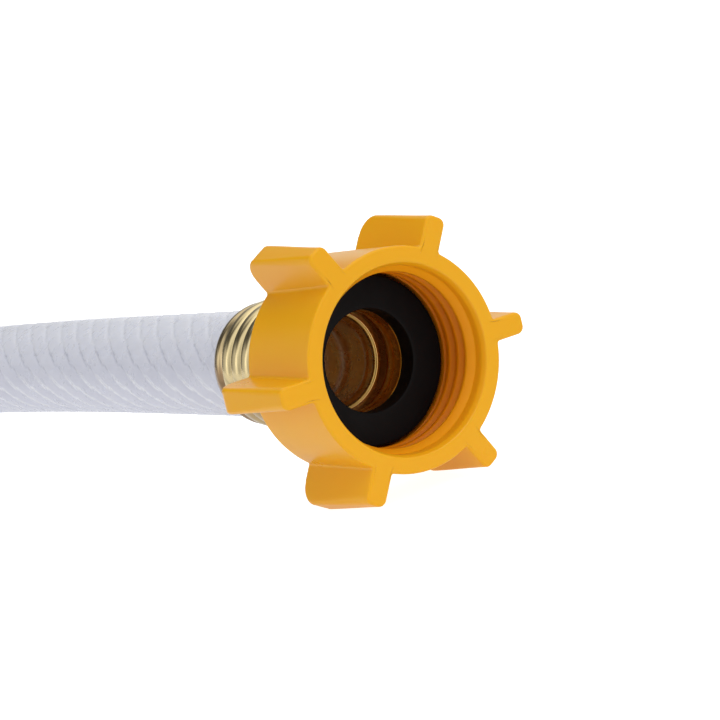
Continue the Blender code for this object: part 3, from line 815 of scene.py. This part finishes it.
def inlet_stem():
    outer = rounded([(13.43, 8.2), (13.43, 12.3), (15.2, 12.3), (15.2, 8.5), (19.3, 8.5), (19.3, 8.3), (20.6, 8.3), (20.6, 7.2), (37.7, 7.2)], [0, 0.2, 0.25, 0.3, 0.1, 0.1, 0.2, 0.1, 0], 4)
    # Bore: a drilled counterbore, a rounded step, then the tube pressed wavy by the crimp.
    bore = rounded([(13.43, 8.2), (13.43, 7.74), (15.30, 7.74), (15.50, 7.62), (16.20, 7.62), (16.45, 7.70), (16.90, 7.70), (17.10, 7.64), (19.56, 7.62), (19.64, 7.52)], [0, 0.12, 0.10, 0.12, 0.1, 0.1, 0.1, 0.1, 0.05, 0], 4)
    rim = []
    centre_s, centre_r, rim_r = 20.00, 7.40, 0.36
    for k in range(16):
        w = math.radians(180 + 92 * k / 15)
        rim.append((centre_s + rim_r * math.cos(w), centre_r + rim_r * math.sin(w)))
    waves = []
    for s in np.arange(20.10, 37.6, 0.18):
        r = 7.03
        for crest, deep, wide in ((21.9, 0.16, 0.42), (28.0, 0.36, 1.10), (34.4, 0.36, 1.2)):
            r -= deep * math.exp(-(((s - crest) / wide) ** 2))
        waves.append((float(s), r))
    inner = bore + rim + waves + [(37.7, 7.02)]
    obj = lathe("flanged_inlet_stem", outer, inner, NUT, 144, 50.0)
    points = np.array([v.co for v in obj.data.vertices]) / MM
    depth = NUT_X - points[:, 0]
    radius = np.hypot(points[:, 1] - NUT_Y, points[:, 2] - NUT_Z)
    # Painted shade and highlights: the counterbore a little darker and darkest beside the washer, the undercut dark,
    # the rounded step a pale highlight colour.
    painted_light_and_shade = np.full(len(depth), 0.5)
    within = radius < 8.0
    painted_light_and_shade = np.where(within & (depth < 16.4), 0.25, painted_light_and_shade)
    painted_light_and_shade = np.where(within & (depth < 13.62), 0.12, painted_light_and_shade)
    painted_light_and_shade = np.where(within & (depth >= 16.4) & (depth < 19.6), 0.22 * (1 - smoothstep(depth, 16.4, 17.4)), painted_light_and_shade)
    painted_light_and_shade = np.where(within & (depth >= 19.6) & (depth < 20.10), 1.0, painted_light_and_shade)
    # Painted highlights: the crests of the crimp's ripples turn paler.
    deep = 0.5 + 0.22 * np.clip((7.03 - radius) / 0.30, 0, 1)
    painted_light_and_shade = np.where(within & (depth >= 20.10), deep, painted_light_and_shade)
    shade = obj.data.attributes.new("painted_light_and_shade", "FLOAT", "POINT")
    shade.data.foreach_set("value", painted_light_and_shade.astype(np.float32))
    return dress(obj, BORE, "regulator", "bright_brass", "inlet_stem")


def ferrule_profile():
    """Outside of the crimped ferrule: rolled edge, round corrugations with tight valleys, plain lip."""
    points = [(17.8, 9.05), (17.85, 9.30), (18.1, 9.62), (18.5, 9.80), (18.9, 9.78)]
    valleys = [19.3, 22.3, 25.3, 28.25, 31.25, 34.3, 37.2]
    for a, b in zip(valleys, valleys[1:]):
        for k in range(18):
            f = k / 18
            points.append((a + (b - a) * f, 9.38 + 0.74 * (1.0 - abs(2.0 * f - 1.0) ** 3.0) ** 0.9))
    points += [(37.2, 9.36), (37.6, 9.34), (37.95, 9.44), (38.2, 9.62), (38.45, 9.74), (38.7, 9.77), (39.0, 9.76), (39.4, 9.68), (39.8, 9.56), (40.1, 9.45), (40.35, 9.33), (40.5, 9.20)]
    return points


def ferrule(name, origin, flip, body, node):
    outer = ferrule_profile()
    inner = [(17.8, 8.85), (19.3, 8.80), (19.4, 9.10), (38.1, 9.10), (38.7, 8.80), (40.2, 8.80), (40.45, 8.92), (40.5, 9.05)]
    if flip:
        outer = [(40.5 - s, r) for s, r in reversed(outer)]
        inner = [(40.5 - s, r) for s, r in reversed(inner)]
    obj = lathe(name, outer, inner, origin, 128, 60.0)
    # The plain lip is browner than the ridges, more so on its lower side; below the axis the ferrule carries painted
    # shade, a darker brown that stands in for the dim reflections under it.
    points = np.array([v.co for v in obj.data.vertices]) / MM
    depth = origin[0] - points[:, 0]
    if flip:
        depth = 40.5 - depth
    below = origin[2] - points[:, 2]
    lip = smoothstep(depth, 37.2, 37.8) * (0.42 + 0.50 * smoothstep(below, -3.5, -0.5))
    darkened = np.maximum(lip, 0.66 * smoothstep(below, 1.6, 2.8) - 0.22 * smoothstep(below, 4.5, 8.0))
    shade = obj.data.attributes.new("darkened", "FLOAT", "POINT")
    shade.data.foreach_set("value", darkened.astype(np.float32))
    return dress(obj, BRIGHT, body, "bright_brass", node)


def hose_end(name, origin, flip, node):
    outer = rounded([(19.6, 7.9), (19.6, 8.85), (38.0, 8.85), (38.0, 7.9)], [0, 0.3, 0.2, 0], 4)
    inner = [(19.6, 7.9), (19.65, 7.5), (37.9, 7.5), (38.0, 7.9)]
    if flip:
        outer = [(40.5 - s, r) for s, r in reversed(outer)]
        inner = [(40.5 - s, r) for s, r in reversed(inner)]
    obj = lathe(name, fill(outer, 3.0), inner[1:-1], origin, 72)
    return dress(obj, PVC, "regulator", "hose_pvc", node)


hose_washer()
inlet_stem()
ferrule("inlet_crimp_ferrule", NUT, False, "regulator", "inlet_ferrule")
hose_end("inlet_crimped_hose", NUT, False, "inlet_hose_end")
ferrule("regulator_crimp_ferrule", REG, True, "regulator", "regulator_ferrule")
hose_end("regulator_crimped_hose", REG, True, "regulator_hose_end")


# ------------------------------------------------------------------ regulator outside
def hex_radius(ang, across, soften=0.42):
    """Radius of a hexagon with a flat facing down and its corners just broken."""
    local = (ang - math.radians(90) + math.radians(30)) % math.radians(60) - math.radians(30)
    r = across / 2 / np.cos(local)
    corner = across / 2 / math.cos(math.radians(30))
    return np.minimum(r, corner - soften)


def hex_piece(name, across, chamfer_r, front, back, profile_before, profile_after, inner, origin, per=20):
    """A turned body with a wrench hexagon between two turned profiles."""
    segments = 6 * per * 2
    ang = np.arange(segments) * 2 * math.pi / segments + math.radians(30)
    corner = across / 2 / math.cos(math.radians(30))
    slope = 0.55
    stations, radii = [], []
    for s, r in profile_before:
        stations.append(s)
        radii.append(np.full(segments, r))
    deep = (corner - chamfer_r + 0.9) * slope
    hexa = hex_radius(ang, across)
    steps = list(np.linspace(0, deep, 13)) + list(np.linspace(deep, back - front - deep, 5)[1:-1]) + list(np.linspace(back - front - deep, back - front, 13))
    for d in steps:
        near = min(d, back - front - d)
        cone = chamfer_r - 0.9 - 0.0 + near / slope if near < deep else 1e3
        stations.append(front + d)
        radii.append(np.minimum(hexa, cone))
    for s, r in profile_after:
        stations.append(s)
        radii.append(np.full(segments, r))
    rows = []
    for s, r in zip(stations, radii):
        rows.append(np.stack([np.full(segments, origin[0] - s), origin[1] + r * np.cos(ang), origin[2] + r * np.sin(ang)], -1))
    for s, r in reversed(inner):
        rows.append(np.stack([np.full(segments, origin[0] - s), origin[1] + r * np.cos(ang), origin[2] + r * np.sin(ang)], -1))
    obj = mesh_object(name, np.concatenate(rows), grid_faces(len(rows), segments, close_rows=True))
    face_out(obj)
    return soft_shade(obj, 30.0)


def hose_tail():
    before = rounded([(2.8, 6.9), (2.8, 7.2), (21.2, 7.2), (21.2, 8.5), (24.2, 8.5), (24.2, 11.9), (24.9, 12.3)], [0, 0.1, 0.1, 0.2, 0.3, 0.3, 0], 4)
    after = rounded([(31.7, 12.4), (31.9, 11.1), (34.4, 11.1), (34.4, 13.1), (43.0, 13.1), (43.6, 12.5), (43.6, 6.9)], [0, 0, 0.2, 0.2, 0.2, 0.2, 0], 3)
    inner = rounded([(2.8, 6.9), (2.8, 6.5), (43.6, 6.5), (43.6, 6.9)], [0, 0.1, 0.1, 0], 3)
    obj = hex_piece("hexagon_hose_tail", 27.0, 15.2, 24.9, 31.7, before, after, fill(inner[1:-1], 8.0), REG, per=14)
    return dress(obj, TURNED, "regulator", "machined_brass", "hose_tail")


def body_grooves(points):
    return points


def regulator_body():
    before = rounded(
        [(32.3, 13.7), (32.3, 15.9), (33.0, 16.6), (41.0, 16.6), (44.5, 18.4), (46.6, 18.4), (46.9, 17.9), (47.5, 17.9), (47.8, 18.4), (48.6, 18.4), (48.9, 17.9), (49.5, 17.9), (49.8, 18.4), (50.7, 18.4), (51.0, 18.5)],
        [0, 0.15, 0.25, 0.8, 0.8, 0.12, 0.1, 0.1, 0.12, 0.12, 0.1, 0.1, 0.12, 0.1, 0],
        4,
    )
    after = rounded(
        [(66.0, 18.5), (66.3, 18.4), (67.4, 18.4), (67.7, 17.9), (68.3, 17.9), (68.6, 18.4), (70.4, 18.4), (70.4, 18.2), (75.6, 18.2), (75.6, 18.4), (86.6, 18.4), (86.9, 17.95), (87.5, 17.95), (87.8, 18.4), (89.4, 18.4), (90.0, 17.8), (90.0, 17.35)],
        [0, 0.1, 0.12, 0.1, 0.1, 0.12, 0.05, 0.05, 0.05, 0.05, 0.12, 0.1, 0.1, 0.12, 0.2, 0.2, 0],
        4,
    )
    inner = [
        (32.3, 13.6), (34.8, 13.6), (34.9, 13.45), (43.8, 13.45), (43.9, 12.0), (46.1, 12.0), (46.2, 13.0), (47.8, 13.0), (47.9, 12.0), (51.2, 12.0),
        (51.3, 10.5), (57.9, 10.5), (58.0, 5.3), (63.9, 5.3), (64.0, 15.5), (80.1, 15.5), (80.2, 16.9), (88.1, 16.9), (88.2, 17.3), (90.0, 17.3),
    ]
    obj = hex_piece("regulator_barrel", 38.1, 21.6, 51.0, 66.0, before, after, inner, REG, per=20)
    drill = bpy.data.meshes.new("vent_drill")
    bm = bmesh.new()
    bmesh.ops.create_cone(bm, cap_ends=True, segments=32, radius1=0.9 * MM, radius2=0.9 * MM, depth=8 * MM)
    bm.to_mesh(drill)
    bm.free()
    tool = bpy.data.objects.new("vent_drill", drill)
    tool.matrix_world = Matrix.Translation(Vector((REG_X - 73.0, REG_Y, REG_Z + 17.5)) * MM)
    scene.collection.objects.link(tool)
    cut = obj.modifiers.new("Vent", "BOOLEAN")
    cut.operation = "DIFFERENCE"
    cut.object = tool
    cut.solver = "EXACT"
    normals = obj.modifiers["Normals"]
    obj.modifiers.remove(normals)
    bpy.context.view_layer.update()
    graph = bpy.context.evaluated_depsgraph_get()
    made = bpy.data.meshes.new_from_object(obj.evaluated_get(graph))
    obj.modifiers.clear()
    obj.data = made
    bpy.data.objects.remove(tool, do_unlink=True)
    soft_shade(obj, 30.0)
    return dress(obj, TURNED, "regulator", "machined_brass", "regulator_body")


def outlet_body():
    knurls = 72
    segments = knurls * 4

    def wall(ang, s):
        r = np.interp(s, [p[0] for p in profile], [p[1] for p in profile])
        r = np.full_like(ang, r)
        if 91.3 <= s <= 96.4:
            fade = float(min(smoothstep(s, 91.3, 91.9), 1 - smoothstep(s, 95.8, 96.4)))
            tooth = np.abs(((ang * knurls / (2 * math.pi)) % 1.0) - 0.5) * 2
            r = r - 0.34 * fade * (1 - tooth)
        if s > 98.4:
            phase = (s - 99.2) / THREAD_PITCH + ang / (2 * math.pi)
            f = phase - np.floor(phase)
            ridge = smoothstep(f, 0.12, 0.38) * (1 - smoothstep(f, 0.62, 0.88))
            fade = smoothstep(s, 98.6, 100.2) * (1 - smoothstep(s, 111.6, 112.7))
            r = np.minimum(r, 12.1) + (13.42 - 12.1) * ridge * fade * smoothstep(phase, -0.1, 0.4)
        return r

    profile = rounded(
        [(80.5, 14.6), (80.5, 16.0), (81.0, 16.55), (88.0, 16.55), (88.0, 15.2), (90.3, 15.2), (90.3, 17.8), (90.9, 18.4), (96.6, 18.4), (97.2, 17.8), (97.2, 11.9), (98.4, 11.9), (98.8, 12.1), (112.3, 12.1), (113.0, 11.5), (113.0, 8.9)],
        [0, 0.1, 0.2, 0.1, 0.15, 0.15, 0.15, 0.3, 0.3, 0.2, 0.2, 0.1, 0, 0.1, 0.15, 0],
        3,
    )
    # np.interp needs depths that only grow, so steps get a hair of depth.
    grown = []
    last = -1.0
    for s, r in profile:
        s = max(s, last + 0.0005)
        grown.append((s, r))
        last = s
    profile = grown
    marks = [p[0] for p in profile]
    extra = list(np.arange(91.3, 96.5, 0.5)) + list(np.arange(98.6, 112.8, 0.13))
    stations = sorted(set(round(s, 5) for s in marks + [e for e in extra if all(abs(e - m) > 0.02 for m in marks)]))
    inner = rounded([(80.5, 14.6), (80.5, 14.4), (87.3, 14.4), (87.3, 9.0), (89.0, 8.0), (112.5, 8.0), (113.0, 8.5), (113.0, 8.9)], [0, 0.05, 0.3, 0.2, 0.3, 0.1, 0.1, 0], 3)
    obj = polar("outlet_spigot", wall, stations, fill(inner[1:-1], 6.0), REG, segments, 34.0)
    return dress(obj, TURNED, "regulator", "machined_brass", "outlet_body")


hose_tail()
regulator_body()
outlet_body()


# ------------------------------------------------------------------ regulator inside
def ring_seal(name, depth, ring_r, section_r, body, node):
    outer = []
    for k in range(24):
        w = 2 * math.pi * k / 24
        outer.append((depth + section_r * math.cos(w), ring_r + section_r * math.sin(w)))
    verts = turn_points(outer, REG, 96)
    obj = mesh_object(name, verts, grid_faces(len(outer), 96, close_rows=True))
    face_out(obj)
    return dress(obj, SEAL, body, "seal_rubber", node)


def piston():
    outer = rounded(
        [(56.1, 3.6), (56.1, 3.9), (57.2, 4.9), (60.2, 4.9), (60.2, 3.85), (62.0, 3.85), (62.0, 4.9), (81.6, 4.9), (81.6, 14.0), (83.2, 14.0), (83.2, 12.2), (85.8, 12.2), (85.8, 14.0), (87.0, 14.0), (87.0, 6.2)],
        [0, 0.1, 0.2, 0.1, 0.15, 0.15, 0.1, 0.6, 0.3, 0.15, 0.2, 0.2, 0.15, 0.3, 0],
        4,
    )
    inner = rounded([(56.1, 3.6), (56.1, 3.4), (84.0, 3.4), (87.0, 6.0), (87.0, 6.2)], [0, 0.1, 0.5, 0.1, 0], 4)
    obj = lathe("hollow_piston", outer, fill(inner[1:-1], 4.0), REG, 96)
    return dress(obj, ACETAL, "piston", "acetal", "piston")


def piston_spring():
    wire_r, mean_r, turns = 1.0, 9.6, 5.5
    low, high = 64.3 + wire_r, 81.3 - wire_r
    count, around = 240, 20
    centre = []
    for i in range(count + 1):
        turn = turns * i / count
        rise = min(max((turn - 0.5) / (turns - 1.0), 0.0), 1.0)
        rise = rise * rise * (3 - 2 * rise) * 0.35 + rise * 0.65
        depth = low + (high - low) * (0.12 * turn / turns + 0.88 * rise)
        w = 2 * math.pi * turn
        # The CAD frame turns local X to -Z and keeps local Y.
        centre.append((REG_X - depth, REG_Y + mean_r * math.sin(w), REG_Z - mean_r * math.cos(w)))
    centre = np.array(centre)
    ahead = np.gradient(centre, axis=0)
    ahead /= np.linalg.norm(ahead, axis=1)[:, None]
    out = centre - np.array([0.0, REG_Y, REG_Z])
    out[:, 0] = 0
    out /= np.linalg.norm(out, axis=1)[:, None]
    out -= ahead * (out * ahead).sum(1)[:, None]
    out /= np.linalg.norm(out, axis=1)[:, None]
    across = np.cross(ahead, out)
    w = np.arange(around) * 2 * math.pi / around
    ring = out[:, None, :] * np.cos(w)[None, :, None] + across[:, None, :] * np.sin(w)[None, :, None]
    points = centre[:, None, :] + ring * wire_r
    verts = list(points.reshape(-1, 3))
    faces = grid_faces(count + 1, around)
    for row in (0, count):
        cap = len(verts)
        verts.append(centre[row])
        for j in range(around):
            k = (j + 1) % around
            faces.append((row * around + j, row * around + k, cap))
    obj = mesh_object("piston_return_spring", np.array(verts), faces)
    face_out(obj)
    obj.data.set_sharp_from_angle(angle=math.radians(50))
    dress(obj, STEEL, None, "stainless_steel", "piston_spring")
    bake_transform(obj)
    return obj


def seat_disc():
    obj = lathe("valve_seat_disc", rounded([(52.3, 3.0), (52.3, 5.1), (54.3, 5.1), (54.3, 3.0)], [0, 0.25, 0.25, 0], 4), [(52.35, 1.6), (54.25, 1.6)], REG, 72)
    return dress(obj, SEAL, "regulator", "seal_rubber", "seat_disc")


ring_seal("tail_seal_ring", 33.4, 12.35, 0.9, "regulator", "hose_tail_o_ring")
_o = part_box("outlet_body_o_ring")
_section = 0.5 * (_o[1].x - _o[0].x) / MM
ring_seal("outlet_seal_ring", 89.2, 0.5 * (_o[1].z - _o[0].z) / MM - _section, _section, "regulator", "outlet_body_o_ring")
_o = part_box("piston_head_o_ring")
_section = 0.5 * (_o[1].x - _o[0].x) / MM
ring_seal("piston_head_seal", REG_X - 0.5 * (_o[0].x + _o[1].x) / MM, 0.5 * (_o[1].z - _o[0].z) / MM - _section, _section, "piston", "piston_head_o_ring")
_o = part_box("piston_stem_o_ring")
_section = 0.5 * (_o[1].x - _o[0].x) / MM
ring_seal("piston_stem_seal", REG_X - 0.5 * (_o[0].x + _o[1].x) / MM, 0.5 * (_o[1].z - _o[0].z) / MM - _section, _section, "piston", "piston_stem_o_ring")
piston()
piston_spring()
seat_disc()

for node, mat in (("strainer_screen", STEEL), ("seat_snap_ring", STEEL), ("seat_carrier", ACETAL), ("seat_screw", STEEL)):
    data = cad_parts[node].data
    for i in range(len(data.materials)):
        data.materials[i] = mat
    if not data.materials:
        data.materials.append(mat)


# ------------------------------------------------------------------ stage and light
def area(name, place, aim, size, power, colour=(1.0, 1.0, 1.0), spread=180.0):
    data = bpy.data.lights.new(name, "AREA")
    data.shape = "RECTANGLE"
    data.size, data.size_y = size
    data.energy = power
    data.color = colour
    data.spread = math.radians(spread)
    obj = bpy.data.objects.new(name, data)
    obj.location = place
    obj.rotation_mode = "QUATERNION"
    obj.rotation_quaternion = (Vector(aim) - Vector(place)).to_track_quat("-Z", "Y")
    scene.collection.objects.link(obj)
    return obj


# The white tent round the object: brightness by direction, in rings of one elevation, counted from +X towards +Y.
TENT = (
    (6.0, (0.66, 0.62, 0.60, 0.58, 0.57, 0.57, 0.57, 0.59, 0.62, 0.68, 0.70, 0.30, 0.12, 0.12, 0.55, 0.70, 1.10, 1.10, 0.80, 0.48, 0.52, 0.62, 0.70, 0.70)),
    (18.0, (0.76, 0.80, 0.84, 0.74, 0.68, 0.65, 0.63, 0.66, 0.69, 0.82, 0.90, 0.12, 0.06, 0.10, 0.60, 0.60, 1.05, 1.05, 0.76, 0.66, 0.60, 0.66, 0.78, 0.78)),
    (31.0, (0.94, 0.98, 1.00, 0.90, 0.82, 0.74, 0.68, 0.70, 0.74, 0.60, 0.34, 0.34, 0.12, 0.06, 0.06, 0.20, 0.40, 0.90, 1.02, 0.82, 0.62, 0.74, 0.92, 0.96)),
    (46.5, (1.16, 1.00, 0.88, 0.84, 0.74, 0.06, 0.92, 0.86)),
    (65.0, (1.34, 1.24, 1.20, 1.00, 0.18, 0.97)),
    (90.0, (1.20,)),
)
TENT_TOP = 1.5
TENT_LEVEL = 1.085
FLOOR_LIGHT = 0.42
FLOOR_GLOW = 0.92


def studio_world():
    world = bpy.data.worlds.new("studio")
    scene.world = world
    world.use_nodes = True
    tree = world.node_tree
    tree.nodes.clear()

    def maths(operation, a, b=0.0):
        node = tree.nodes.new("ShaderNodeMath")
        node.operation = operation
        for socket, value in ((node.inputs[0], a), (node.inputs[1], b)):
            if isinstance(value, (int, float)):
                socket.default_value = value
            else:
                tree.links.new(value, socket)
        return node.outputs[0]

    coords = tree.nodes.new("ShaderNodeTexCoord")
    split = tree.nodes.new("ShaderNodeSeparateXYZ")
    tree.links.new(coords.outputs["Generated"], split.inputs[0])
    bearing = maths("ARCTAN2", split.outputs["Y"], split.outputs["X"])
    turn = maths("FRACT", maths("DIVIDE", bearing, 2 * math.pi))
    height = maths("DEGREES", maths("ARCSINE", split.outputs["Z"]))
    level, before = None, None
    for elevation, values in TENT:
        node = tree.nodes.new("ShaderNodeValToRGB")
        ramp = node.color_ramp
        ramp.interpolation = "EASE" if len(values) > 1 else "LINEAR"
        stops = [(k / len(values), v) for k, v in enumerate(values)] + [(1.0, values[0])]
        while len(ramp.elements) < len(stops):
            ramp.elements.new(0.5)
        for element, (at, value) in zip(ramp.elements, stops):
            element.position = at
            element.color = (value / TENT_TOP, value / TENT_TOP, value / TENT_TOP, 1.0)
        tree.links.new(turn, node.inputs["Fac"])
        ring = node.outputs["Color"]
        if level is None:
            level = ring
        else:
            share = tree.nodes.new("ShaderNodeMapRange")
            share.interpolation_type = "SMOOTHSTEP"
            share.inputs["From Min"].default_value = before
            share.inputs["From Max"].default_value = elevation
            tree.links.new(height, share.inputs["Value"])
            mix = tree.nodes.new("ShaderNodeMix")
            mix.data_type = "RGBA"
            tree.links.new(share.outputs["Result"], mix.inputs[0])
            tree.links.new(level, mix.inputs[6])
            tree.links.new(ring, mix.inputs[7])
            level = mix.outputs[2]
        before = elevation
    tent = tree.nodes.new("ShaderNodeBackground")
    tent.inputs["Strength"].default_value = TENT_TOP * TENT_LEVEL
    tree.links.new(level, tent.inputs["Color"])
    white = tree.nodes.new("ShaderNodeBackground")
    white.inputs["Color"].default_value = (1.0, 1.0, 1.0, 1.0)
    white.inputs["Strength"].default_value = 1.15
    path = tree.nodes.new("ShaderNodeLightPath")
    choose = tree.nodes.new("ShaderNodeMixShader")
    out = tree.nodes.new("ShaderNodeOutputWorld")
    tree.links.new(path.outputs["Is Camera Ray"], choose.inputs["Fac"])
    tree.links.new(tent.outputs[0], choose.inputs[1])
    tree.links.new(white.outputs[0], choose.inputs[2])
    tree.links.new(choose.outputs[0], out.inputs["Surface"])


def studio_floor():
    bpy.ops.mesh.primitive_plane_add(size=12.0, location=(0, 0, 0))
    floor = bpy.context.active_object
    floor.name = "studio_floor"
    look = Look("pale_floor")
    look.shader.inputs["Roughness"].default_value = 0.9
    look.shader.inputs["Specular IOR Level"].default_value = 0.1
    grain = look.noise(3.0, 2.0, 0.5)
    look.colour(look.ramp(grain, [(0.3, (0.62, 0.62, 0.625)), (0.7, (0.64, 0.64, 0.645))]))
    # A lit acrylic table: it glows a little, and more to the camera, so that it stays white.
    tree = look.tree
    glow = tree.nodes.new("ShaderNodeEmission")
    glow.inputs["Color"].default_value = (1.0, 1.0, 1.0, 1.0)
    path = tree.nodes.new("ShaderNodeLightPath")
    # The panel under the table is a strip along the object, so its light fades to either side.
    split = tree.nodes.new("ShaderNodeSeparateXYZ")
    look.link(look.coords, split.inputs[0])
    aside = look.maths("ABSOLUTE", split.outputs["Y"], 0.0)
    strip = look.maths("ADD", look.span(aside, FLOOR_LIGHT, 0.03, 0.03, 0.08), look.span(aside, 0.0, 0.30, 0.085, 0.125))
    camera = path.outputs["Is Camera Ray"]
    other = look.maths("SUBTRACT", 1.0, camera)
    strength = look.maths("ADD", look.maths("MULTIPLY", camera, FLOOR_GLOW), look.maths("MULTIPLY", other, strip))
    look.link(strength, glow.inputs["Strength"])
    add = tree.nodes.new("ShaderNodeAddShader")
    out = tree.nodes["Material Output"]
    tree.links.new(look.shader.outputs[0], add.inputs[0])
    tree.links.new(glow.outputs[0], add.inputs[1])
    tree.links.new(add.outputs[0], out.inputs["Surface"])
    floor.data.materials.append(look.mat)


studio_world()
studio_floor()
aim = (0.16, 0.0, 0.02)
area("softbox_key", (0.72, 0.12, 0.80), aim, (0.6, 0.5), 0.75)
area("softbox_left", (-0.20, -0.95, 0.40), aim, (0.5, 0.4), 0.18)
